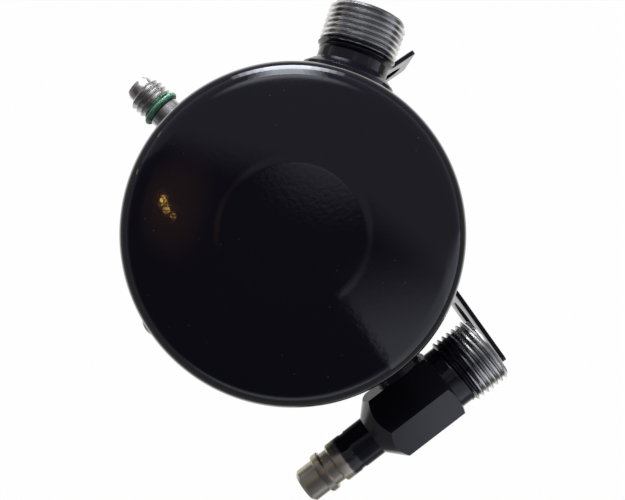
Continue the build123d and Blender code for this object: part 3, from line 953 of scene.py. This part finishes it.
@dataclass
class InletFitting:
    """Male 1 1/16 inch fitting: collar, neck and thread, painted up to its first turns."""

    angle: float = 37.0
    height: float = 145.0
    collar_radius: float = 16.0
    neck_radius: float = 12.3
    spigot_radius: float = 11.5
    collar_end: float = 56.7
    neck_start: float = 59.4
    bore_radius: float = 8.0
    mouth_radius: float = 9.6
    mouth_depth: float = 10.0
    mouth_chamfer: float = 0.8
    thread: Thread = Thread(UNIFIED_PITCH, 27.0, 62.6, 78.5, 1.2, 1.4)

    @property
    def place(self) -> Matrix:
        """The fitting's frame on the can's axis."""
        return radial_place(self.angle, self.height)

    def build(self) -> bpy.types.Object:
        """Turn the body, sweep its thread, and bore it through."""
        root = self.thread.root_radius - 0.15
        end = self.thread.end
        body = lathe("inlet_fitting_turned", outline_on_axis([
            (43.6, self.spigot_radius), (46.0, self.spigot_radius), (46.0, self.collar_radius),
            (self.collar_end - 0.3, self.collar_radius), (self.collar_end, self.collar_radius - 0.3),
            (self.neck_start, self.neck_radius), (self.thread.start + 0.3, self.neck_radius),
            (self.thread.start + 0.35, root), (end - 0.02, root),
        ]))
        bore = lathe("inlet_bore", outline_on_axis([
            (40.0, self.bore_radius), (end - self.mouth_depth, self.bore_radius),
            (end - self.mouth_depth, self.mouth_radius), (end - self.mouth_chamfer, self.mouth_radius),
            (end + 0.2, self.mouth_radius + self.mouth_chamfer + 0.2),
        ]))
        combine(body, bore, "DIFFERENCE")
        combine(body, self.thread.build("inlet_thread"), "UNION")
        settle(body, self.place)
        smooth(body, 32.0)
        return body


@dataclass
class OutletTee:
    """Hexagon bar turned to a thread on one end and a quick-coupler port on the other."""

    angle: float = -86.52
    offset: float = 64.5
    height: float = 169.0
    across_flats: float = 21.0
    hex_start: float = -14.4
    hex_end: float = 9.4
    hex_chamfer: float = 1.0
    cone_start: float = -18.4
    shank_radius: float = 6.5
    neck_radius: float = 9.9
    bore_radius: float = 6.3
    bore_reach: float = 7.0
    mouth_radius: float = 8.05
    mouth_depth: float = 10.0
    mouth_chamfer: float = 0.8
    stub_radius: float = 9.5
    stub_inner_end: float = 40.3
    stub_shoulder: float = 50.0
    stub_waist: float = 8.0
    stub_root: float = 5.9
    tip: float = -45.05
    thread: Thread = Thread(UNIFIED_PITCH, 22.2, 12.9, 26.55, 1.0, 1.2, lead=0.47)

    @property
    def stub_place(self) -> Matrix:
        """Frame on the can's axis along the stub."""
        return radial_place(self.angle, self.height)

    @property
    def place(self) -> Matrix:
        """The tee's own frame: X towards the threaded end, origin over the stub."""
        over = self.stub_place @ Matrix.Translation((self.offset * MM, 0, 0))
        return over @ Matrix.Rotation(math.pi / 2, 4, "Z")

    def hexagon(self) -> bpy.types.Object:
        """Hexagon with a flat towards the can, turned to a cone and a chamfer."""
        flat = self.across_flats / 2
        corner = flat / math.cos(math.pi / 6)
        slope = (flat - self.shank_radius) / (self.hex_start - self.cone_start)
        full_cone = self.hex_start + (corner - flat) / slope
        length = self.hex_end - self.cone_start
        deselect_all()
        bpy.ops.mesh.primitive_cylinder_add(
            vertices=6, radius=corner * MM, depth=(length + 2) * MM,
            location=((self.cone_start + length / 2) * MM, 0, 0), rotation=(0, math.pi / 2, 0),
        )
        bar = take_new("tee_hexagon")
        settle(bar, Matrix.Identity(4))
        if max(abs(vertex.co.y) for vertex in bar.data.vertices) > (flat + 0.1) * MM:
            bar.data.transform(Matrix.Rotation(math.pi / 6, 4, "X"))
        envelope = lathe("tee_envelope", outline_on_axis([
            (self.cone_start, self.shank_radius), (full_cone, corner + 0.05),
            (self.hex_end - self.hex_chamfer, corner + 0.05),
            (self.hex_end, corner - 2 * self.hex_chamfer),
        ]))
        combine(bar, envelope, "INTERSECT")
        return bar

    def port_outline(self) -> list[Point]:
        """Outline of the service port, from its tip to the hexagon's cone."""
        return [
            (self.tip, 4.45), (self.tip + 0.25, 4.75), (self.tip + 1.0, 5.45), (-38.55, 5.45),
            (-38.55, 6.05), (-38.3, 6.38), (-37.95, 6.5), (-36.15, 6.5), (-35.85, 6.2), (-35.85, 5.5),
            (-32.9, 5.5), (-32.9, 6.0), (-32.4, 6.5), (-27.3, 6.5), (-26.8, 6.25), (-25.4, 6.25),
            (-25.4, 6.5), (self.cone_start + 1.0, 6.5),
        ]

    def build(self) -> bpy.types.Object:
        """Turn the tee, sweep its thread, add the stub, and bore it."""
        thread = self.thread
        root = thread.root_radius - 0.15
        body = lathe("outlet_tee_turned", outline_on_axis([
            *self.port_outline(), (self.hex_end - 3.0, self.shank_radius),
            (self.hex_end - 3.0, self.neck_radius), (thread.start + 0.3, self.neck_radius),
            (thread.start + 0.35, root), (thread.end - 0.02, root),
        ]))
        combine(body, self.hexagon(), "UNION")
        combine(body, port_bore(self.tip, 1, -self.tip), "DIFFERENCE")
        flat_at = self.offset - self.across_flats / 2
        stub_outline = [
            (self.stub_inner_end, self.stub_radius), (self.stub_shoulder, self.stub_radius),
            (self.stub_shoulder + 1.0, self.stub_waist), (flat_at - 0.1, self.stub_waist),
            (flat_at - 0.1, self.stub_root), (self.offset - 8.0, self.stub_root),
        ]
        stub = lathe("tee_stub", outline_on_axis(stub_outline), 96)
        settle(stub, self.place.inverted() @ self.stub_place)
        combine(body, stub, "UNION")
        bore = lathe("tee_bore", outline_on_axis([
            (-self.bore_reach, self.bore_radius), (thread.end - self.mouth_depth, self.bore_radius),
            (thread.end - self.mouth_depth, self.mouth_radius),
            (thread.end - self.mouth_chamfer, self.mouth_radius),
            (thread.end + 0.2, self.mouth_radius + self.mouth_chamfer + 0.2),
        ]))
        combine(body, bore, "DIFFERENCE")
        stub_bore = lathe("stub_bore", outline_on_axis([
            (30.0, 7.99), (self.stub_inner_end + 5.0, 7.99),
            (self.stub_inner_end + 5.0, self.bore_radius), (self.offset, self.bore_radius),
        ]), 96)
        settle(stub_bore, self.place.inverted() @ self.stub_place)
        combine(body, stub_bore, "DIFFERENCE")
        combine(body, thread.build("tee_thread"), "UNION")
        close_seams(body)
        settle(body, self.place)
        smooth(body, 30.0)
        return body


def port_bore(tip: float, inwards: int, reach: float) -> bpy.types.Object:
    """Cutter for the bore that takes a valve core.

    Args:
        tip: where the port's tip lies along X, in millimetres.
        inwards: 1 where the port runs towards +X from its tip, otherwise -1.
        reach: how far in the bore goes.
    """
    depths = [
        (-1.0, 3.6), (0.0, 3.4), (0.3, 3.1), (7.4, 3.1), (7.4, 2.6), (14.0, 2.6), (14.0, 2.8),
        (18.0, 2.8), (18.0, 1.6), (reach, 1.6),
    ]
    outline = [(tip + inwards * depth, radius) for depth, radius in depths]
    return lathe("port_bore", outline_on_axis(outline), 64)


@dataclass
class SwitchPort:
    """Bright male M12 port for the pressure switch, with its green O-ring."""

    angle: float = 102.4
    height: float = 158.0
    groove_start: float = 57.75
    groove_radius: float = 4.8
    ring_section: float = 0.9
    nose_end: float = 68.5
    tip: float = 69.4
    thread: Thread = Thread(1.75, 12.0, 59.85, 66.2, 0.7, 0.7, 0.58, 80)

    @property
    def place(self) -> Matrix:
        """The port's frame on the can's axis."""
        return radial_place(self.angle, self.height)

    def build(self) -> bpy.types.Object:
        """Turn the port, sweep its thread, and bore it."""
        thread = self.thread
        root = thread.root_radius - 0.1
        body = lathe("switch_port_turned", outline_on_axis([
            (43.6, 5.0), (46.0, 5.0), (46.0, 8.5), (51.3, 8.5), (51.6, 8.2), (51.6, 5.35),
            (self.groove_start - 0.2, 5.35), (self.groove_start, 5.15),
            (self.groove_start, self.groove_radius), (thread.start + 0.2, self.groove_radius),
            (thread.start + 0.25, root), (thread.end - 0.02, root), (thread.end, 4.3),
            (self.nose_end - 0.3, 4.3), (self.nose_end, 4.15), (self.tip, 3.7),
        ]), 96)
        combine(body, port_bore(self.tip, -1, self.tip), "DIFFERENCE")
        combine(body, thread.build("switch_thread"), "UNION")
        settle(body, self.place)
        smooth(body, 32.0)
        return body

    def o_ring(self) -> bpy.types.Object:
        """O-ring seated in the port's groove."""
        deselect_all()
        middle = self.groove_radius + self.ring_section + 0.02
        seat = (self.groove_start + self.thread.start) / 2
        bpy.ops.mesh.primitive_torus_add(
            major_radius=middle * MM, minor_radius=self.ring_section * MM, major_segments=96,
            minor_segments=28, rotation=(0, math.pi / 2, 0),
        )
        piece = take_new("switch_o_ring_moulded")
        settle(piece, self.place @ Matrix.Translation((seat * MM, 0, 0)))
        smooth(piece, 60.0)
        return piece


@dataclass
class Bracket:
    """The bent sheet, with its sheared edges eased."""

    edge: float = 0.22

    def build(self, nodes: dict) -> bpy.types.Object:
        """Copy the sheet's own solid and round its edges.

        Args:
            nodes: the frame's nodes by name.
        """
        source = nodes["bracket"]
        piece = bpy.data.objects.new("bracket_pressed", source.data.copy())
        bpy.context.collection.objects.link(piece)
        piece.matrix_world = source.matrix_world
        close_seams(piece, 0.01 * MM)
        make_active(piece)
        bpy.ops.object.mode_set(mode="EDIT")
        bpy.ops.mesh.select_all(action="SELECT")
        bpy.ops.mesh.dissolve_limited(angle_limit=math.radians(0.5))
        bpy.ops.object.mode_set(mode="OBJECT")
        apply_modifier(
            piece, "BEVEL", width=self.edge * MM, segments=3, limit_method="ANGLE",
            angle_limit=math.radians(40), harden_normals=False,
        )
        smooth(piece, 30.0)
        return piece


@dataclass
class Studio:
    """Pale floor, soft light and the camera over the crown."""

    image_width: float = 625.0
    image_height: float = 500.0
    can_centre: Point = (293.65, 234.9)
    focal_pixels: float = 833.0
    roll: float = 34.0
    eye_height: float = 427.2
    sensor: float = 36.0
    pool_start: float = 220.0
    pool_end: float = 330.0
    pool_rim: float = 0.2
    glow_share: float = 0.985
    overhead: float = 0.075
    horizon: float = 0.35
    horizon_rise: float = 0.3
    bounces: tuple = (((65.0, 0.06, 0.24), 0.25, "#edf1ff"),)
    patches: tuple = (
        ((68.0, 0.14, 0.045, 0.125), 0.42, "#edf1ff"),
        ((93.0, 1.3, 0.20, 0.68), 2.4, "#f0f5ff"),
        ((166.0, 0.50, 0.07, 0.26), 0.16, "#ffb878"),
        ((-52.5, 3.6, 0.8, 2.4), 0.20, "#edf1ff"),
        ((-90.0, 8.0, 4.0, 6.0), 0.8, "#e2ecff"),
    )
    panel_edge: tuple = (-88.0, 0.0, 0.55)
    panel_side: tuple = (36.0, -0.015, 0.04)
    panel: tuple = (0.75, "#edf1ff")
    sky: str = "#e6e9ff"
    softbox: tuple = ((0.20, 3.7), (0.28, 3.5), (0.36, 3.0), (0.44, 2.5), (0.52, 1.9))
    softbox_rows: tuple = ((-4.0, 0.26, 1.0, 1.0), (18.0, 0.34, 0.5, 0.65))
    bulbs: tuple = (
        (165.2, 60.0, 0.032, 24.0), (168.4, 61.8, 0.022, 20.0), (170.6, 63.8, 0.017, 18.0),
        (143.0, 0.0, 0.05, 10.0), (158.0, -6.0, 0.05, 8.0),
    )

    def camera(self) -> None:
        """Camera on the can's axis, rolled so that the fittings lie as in the picture."""
        data = bpy.data.cameras.new("camera")
        data.sensor_width = self.sensor
        data.lens = self.focal_pixels * self.sensor / self.image_width
        data.clip_start = 0.01
        camera = bpy.data.objects.new("camera", data)
        bpy.context.collection.objects.link(camera)
        turn = math.radians(self.roll)
        right = Vector((math.cos(turn), -math.sin(turn), 0))
        up = Vector((math.sin(turn), math.cos(turn), 0))
        across = (self.can_centre[0] - self.image_width / 2) / self.focal_pixels
        rise = (self.image_height / 2 - self.can_centre[1]) / self.focal_pixels
        ahead = (Vector((0, 0, -1)) - across * right - rise * up).normalized()
        level_up = (up - up.dot(ahead) * ahead).normalized()
        sideways = ahead.cross(level_up)
        rotation = Matrix((sideways, level_up, -ahead)).transposed().to_4x4()
        camera.matrix_world = Matrix.Translation((0, 0, self.eye_height * MM)) @ rotation
        bpy.context.scene.camera = camera

    def floor(self) -> bpy.types.Object:
        """Pale sheet that the can stands on, with a painted glow that fades outwards from the can.

        The camera, metal and glass see that painted glow, white near the can and dimmer farther out. The rest
        of its light is what falls on it, so that the can's shadow stays.
        """
        deselect_all()
        bpy.ops.mesh.primitive_plane_add(size=6.0, location=(0, 0, 0))
        piece = take_new("floor")
        material, tree, shader = fresh_material("pale_floor")
        shader.inputs["Base Color"].default_value = linear("#f4f4f4")
        shader.inputs["Roughness"].default_value = 0.9
        reach = add_node(
            tree, "ShaderNodeVectorMath", {"operation": "LENGTH"}, {0: object_point(tree)}
        )
        # Painted light: the glow is full near the can and fades to pool_rim farther out
        painted_pool = add_node(
            tree, "ShaderNodeMapRange", {"interpolation_type": "SMOOTHSTEP"},
            {"Value": reach.outputs["Value"], "From Min": self.pool_start, "From Max": self.pool_end,
             "To Min": 1.0, "To Max": self.pool_rim},
        )
        glow = add_node(
            tree, "ShaderNodeEmission", inputs={"Color": painted_pool.outputs[0], "Strength": 1.0}
        )
        path = add_node(tree, "ShaderNodeLightPath")
        seen = path.outputs["Is Camera Ray"]
        for ray in ("Is Glossy Ray", "Is Transmission Ray"):
            both = add_node(
                tree, "ShaderNodeMath", {"operation": "MAXIMUM"}, {0: seen, 1: path.outputs[ray]}
            )
            seen = both.outputs[0]
        share = add_node(
            tree, "ShaderNodeMath", {"operation": "MULTIPLY"}, {0: seen, 1: self.glow_share}
        )
        mixed = add_node(
            tree, "ShaderNodeMixShader",
            inputs={0: share.outputs[0], 1: shader.outputs[0], 2: glow.outputs[0]},
        )
        output = next(node for node in tree.nodes if node.type == "OUTPUT_MATERIAL")
        tree.links.new(mixed.outputs[0], output.inputs["Surface"])
        wear(piece, material)
        return piece

    def ceiling_point(self, tree: bpy.types.NodeTree) -> tuple:
        """Where a direction meets a ceiling one unit up, along the picture's right and up.

        Returns:
            The meeting point's socket and the direction's rise.
        """
        turned = add_node(
            tree, "ShaderNodeVectorRotate",
            {"rotation_type": "Z_AXIS"},
            {"Vector": add_node(tree, "ShaderNodeTexCoord").outputs["Generated"],
             "Angle": math.radians(self.roll)},
        )
        split = add_node(tree, "ShaderNodeSeparateXYZ", inputs={0: turned.outputs[0]})
        rise = add_node(
            tree, "ShaderNodeMath", {"operation": "MAXIMUM"}, {0: split.outputs["Z"], 1: 0.05}
        )
        across = [
            add_node(
                tree, "ShaderNodeMath", {"operation": "DIVIDE"},
                {0: split.outputs[axis], 1: rise.outputs[0]},
            ).outputs[0]
            for axis in ("X", "Y")
        ]
        point = add_node(tree, "ShaderNodeCombineXYZ", inputs={0: across[0], 1: across[1]})
        return point.outputs[0], split.outputs["Z"]

    def soft_edge(
        self, tree: bpy.types.NodeTree, point: bpy.types.NodeSocket, edge: tuple
    ) -> bpy.types.NodeSocket:
        """Mask that rises across a straight edge on the ceiling.

        Args:
            tree: the world's node tree.
            point: the ceiling point.
            edge: bearing in degrees, and where along it the mask is 0 and 1.
        """
        bearing, start, full = edge
        turn = math.radians(bearing)
        along = add_node(
            tree, "ShaderNodeVectorMath", {"operation": "DOT_PRODUCT"},
            {0: point, 1: (math.cos(turn), math.sin(turn), 0)},
        )
        mask = add_node(
            tree, "ShaderNodeMapRange", {"interpolation_type": "SMOOTHSTEP"},
            {"Value": along.outputs["Value"], "From Min": start, "From Max": full,
             "To Min": 0.0, "To Max": 1.0},
        )
        return mask.outputs[0]

    def soft_patch(
        self, tree: bpy.types.NodeTree, point: bpy.types.NodeSocket, patch: tuple
    ) -> bpy.types.NodeSocket:
        """Mask of a round patch on the ceiling.

        Args:
            tree: the world's node tree.
            point: the ceiling point.
            patch: bearing in degrees, reach of its middle, inner and outer radius.
        """
        bearing, reach, inner, outer = patch
        turn = math.radians(bearing)
        off = add_node(
            tree, "ShaderNodeVectorMath", {"operation": "DISTANCE"},
            {0: point, 1: (reach * math.cos(turn), reach * math.sin(turn), 0)},
        )
        mask = add_node(
            tree, "ShaderNodeMapRange", {"interpolation_type": "SMOOTHSTEP"},
            {"Value": off.outputs["Value"], "From Min": inner, "From Max": outer,
             "To Min": 1.0, "To Max": 0.0},
        )
        return mask.outputs[0]

    def world(self) -> None:
        """Dim room with soft bounce on its ceiling, as the crown mirrors it."""
        world = bpy.data.worlds.new("studio")
        bpy.context.scene.world = world
        world.use_nodes = True
        tree = world.node_tree
        background = next(node for node in tree.nodes if node.type == "BACKGROUND")
        point, rise = self.ceiling_point(tree)
        dim = add_node(
            tree, "ShaderNodeMapRange", {"interpolation_type": "SMOOTHSTEP"},
            {"Value": rise, "From Min": self.horizon_rise, "From Max": 0.0,
             "To Min": self.overhead, "To Max": self.horizon},
        ).outputs[0]
        panel = add_node(
            tree, "ShaderNodeMath", {"operation": "MULTIPLY"},
            {0: self.soft_edge(tree, point, self.panel_edge),
             1: self.soft_edge(tree, point, self.panel_side)},
        ).outputs[0]
        parts = [(dim, 1.0, self.sky), (panel, *self.panel)]
        parts += [(self.soft_edge(tree, point, edge), *rest) for edge, *rest in self.bounces]
        parts += [(self.soft_patch(tree, point, patch), *rest) for patch, *rest in self.patches]
        total = (0.0, 0.0, 0.0)
        for mask, level, colour in parts:
            light = tuple(level * channel for channel in linear(colour)[:3])
            total = add_node(
                tree, "ShaderNodeVectorMath", {"operation": "MULTIPLY_ADD"},
                {0: mask, 1: light, 2: total},
            ).outputs[0]
        tree.links.new(total, background.inputs["Color"])
        background.inputs["Strength"].default_value = 1.0

    def lamp(
        self, name: str, bearing: float, elevation: float, distance: float, size: Point,
        radiance: float, colour: str = "#ffffff",
    ) -> None:
        """Soft box that faces the crown.

        Args:
            name: the lamp's name.
            bearing: degrees anticlockwise from the picture's right.
            elevation: degrees above the crown's level.
            distance: metres from the crown.
            size: width and height in metres.
            radiance: how bright its face is, where white paper in plain light is 1.
            colour: its hex colour.
        """
        data = bpy.data.lights.new(name, "AREA")
        data.shape = "RECTANGLE"
        data.size, data.size_y = size
        data.energy = radiance * math.pi * size[0] * size[1]
        data.color = linear(colour)[:3]
        lamp = bpy.data.objects.new(name, data)
        bpy.context.collection.objects.link(lamp)
        turn = math.radians(bearing - self.roll)
        tilt = math.radians(elevation)
        level = math.cos(tilt)
        out = Vector((math.cos(turn) * level, math.sin(turn) * level, math.sin(tilt)))
        place = Matrix.Translation(Vector((0, 0, 0.2)) + out * distance)
        lamp.matrix_world = place @ out.to_track_quat("Z", "Y").to_matrix().to_4x4()

    def build(self) -> None:
        """Set the whole studio up."""
        self.camera()
        self.floor()
        self.world()
        for elevation, height, share, narrowing in self.softbox_rows:
            for layer, (width, level) in enumerate(self.softbox):
                size = (narrowing * width, height)
                self.lamp("softbox", 92.0, elevation, 0.7 + 0.01 * layer, size, share * level, "#f0f5ff")
        for bearing, elevation, width, level in self.bulbs:
            self.lamp("warm_bulb", bearing, elevation, 1.5, (width, 0.8 * width), level, "#ffc860")
        scene = bpy.context.scene
        scene.view_settings.view_transform = "Standard"


INSIDE = {
    "pickup_tube": PlainMetal("plain_steel_tube", Metal.TUBE_STEEL),
    "inlet_baffle": PlainMetal("rolled_steel_sheet", Metal.TUBE_STEEL),
    "oil_filter": MouldedNylon("moulded_nylon", "#dcd9cc"),
    "filter_screen": MouldedNylon("woven_screen", "#c9c7bd", 2.4),
    "bag_band": MouldedNylon("nylon_tie", "#e3e1d8"),
    "desiccant_bag": Felt("needled_felt"),
}


def dress_inside(nodes: dict) -> None:
    """Give the pieces inside the can, and the valve cores, their own finishes."""
    for node, finish in INSIDE.items():
        wear(nodes[node], finish.material())
        log.info("%s dressed", node)
    brass = PlainMetal("turned_brass", Metal.BRASS).material()
    wire = PlainMetal("drawn_spring_wire", Metal.DRAWN_WIRE).material()
    seal = Rubber("black_nitrile", "#101010", "#1c1c1c").material()
    for port in ("service", "switch"):
        for part, material in (
            ("core_body", brass), ("core_pin", brass), ("core_spring", wire),
            ("core_seal", seal), ("poppet_seal", seal),
        ):
            wear(nodes[f"{port}_{part}"], material)
        log.info("%s valve core dressed", port)


def stand_in(piece: bpy.types.Object, node: str, material: bpy.types.Material) -> None:
    """Let a piece stand for a node of the can's body, with its finish.

    Args:
        piece: the finished piece.
        node: the node that it replaces.
        material: the piece's material.
    """
    wear(piece, material)
    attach(piece, "can")
    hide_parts(node)
    log.info("%s: %d points", piece.name, len(piece.data.vertices))


def main() -> None:
    """Build every piece in order."""
    logging.basicConfig(level=logging.INFO, format="%(message)s")
    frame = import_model()
    nodes = frame["nodes"]

    enamel = Enamel("black_enamel").material()
    can = Can()
    stand_in(can.upper_shell(), "upper_shell", enamel)
    stand_in(can.lower_shell(), "lower_shell", enamel)
    stand_in(can.girth_weld(), "girth_weld", enamel)
    inlet = InletFitting()
    tee = OutletTee()
    switch = SwitchPort()
    beads = (
        ("inlet_weld", inlet.angle, inlet.height, inlet.collar_radius),
        ("outlet_weld", tee.angle, tee.height, tee.stub_radius),
        ("switch_port_weld", switch.angle, switch.height, 8.5),
        ("relief_weld", 178.3, 147.0, 8.0),
    )
    for node, angle, height, radius in beads:
        stand_in(can.fitting_weld(node + "_bead", angle, height, radius), node, enamel)
    stand_in(can.relief_plug(), "relief_plug", enamel)
    wear(nodes["relief_boss"], enamel)

    stand_in(
        inlet.build(), "inlet_fitting",
        PaintedSteel("inlet_steel", inlet.place, paint_high=65.2, groove_run=1.6, groove_shade=0.42).material(),
    )
    stand_in(
        tee.build(), "outlet_tee",
        PaintedSteel(
            "tee_steel", tee.place, paint_low=-29.3, paint_high=16.5, crest=11.1, groove_run=2.4,
            groove_shade=0.5, slant=0.28, far_metal=Metal.YELLOWED_STEEL,
        ).material(),
    )
    stand_in(
        switch.build(), "switch_port",
        PaintedSteel("switch_steel", switch.place, Metal.BRIGHT_STEEL, paint_high=52.5).material(),
    )
    stand_in(
        switch.o_ring(), "switch_o_ring",
        Rubber("green_nitrile", "#52936f", "#84bd9c").material(),
    )
    stand_in(
        Bracket().build(nodes), "bracket",
        Enamel("bracket_enamel", roughness=0.2).material(),
    )
    dress_inside(nodes)
    Studio().build()


if __name__ == "__main__":
    main()
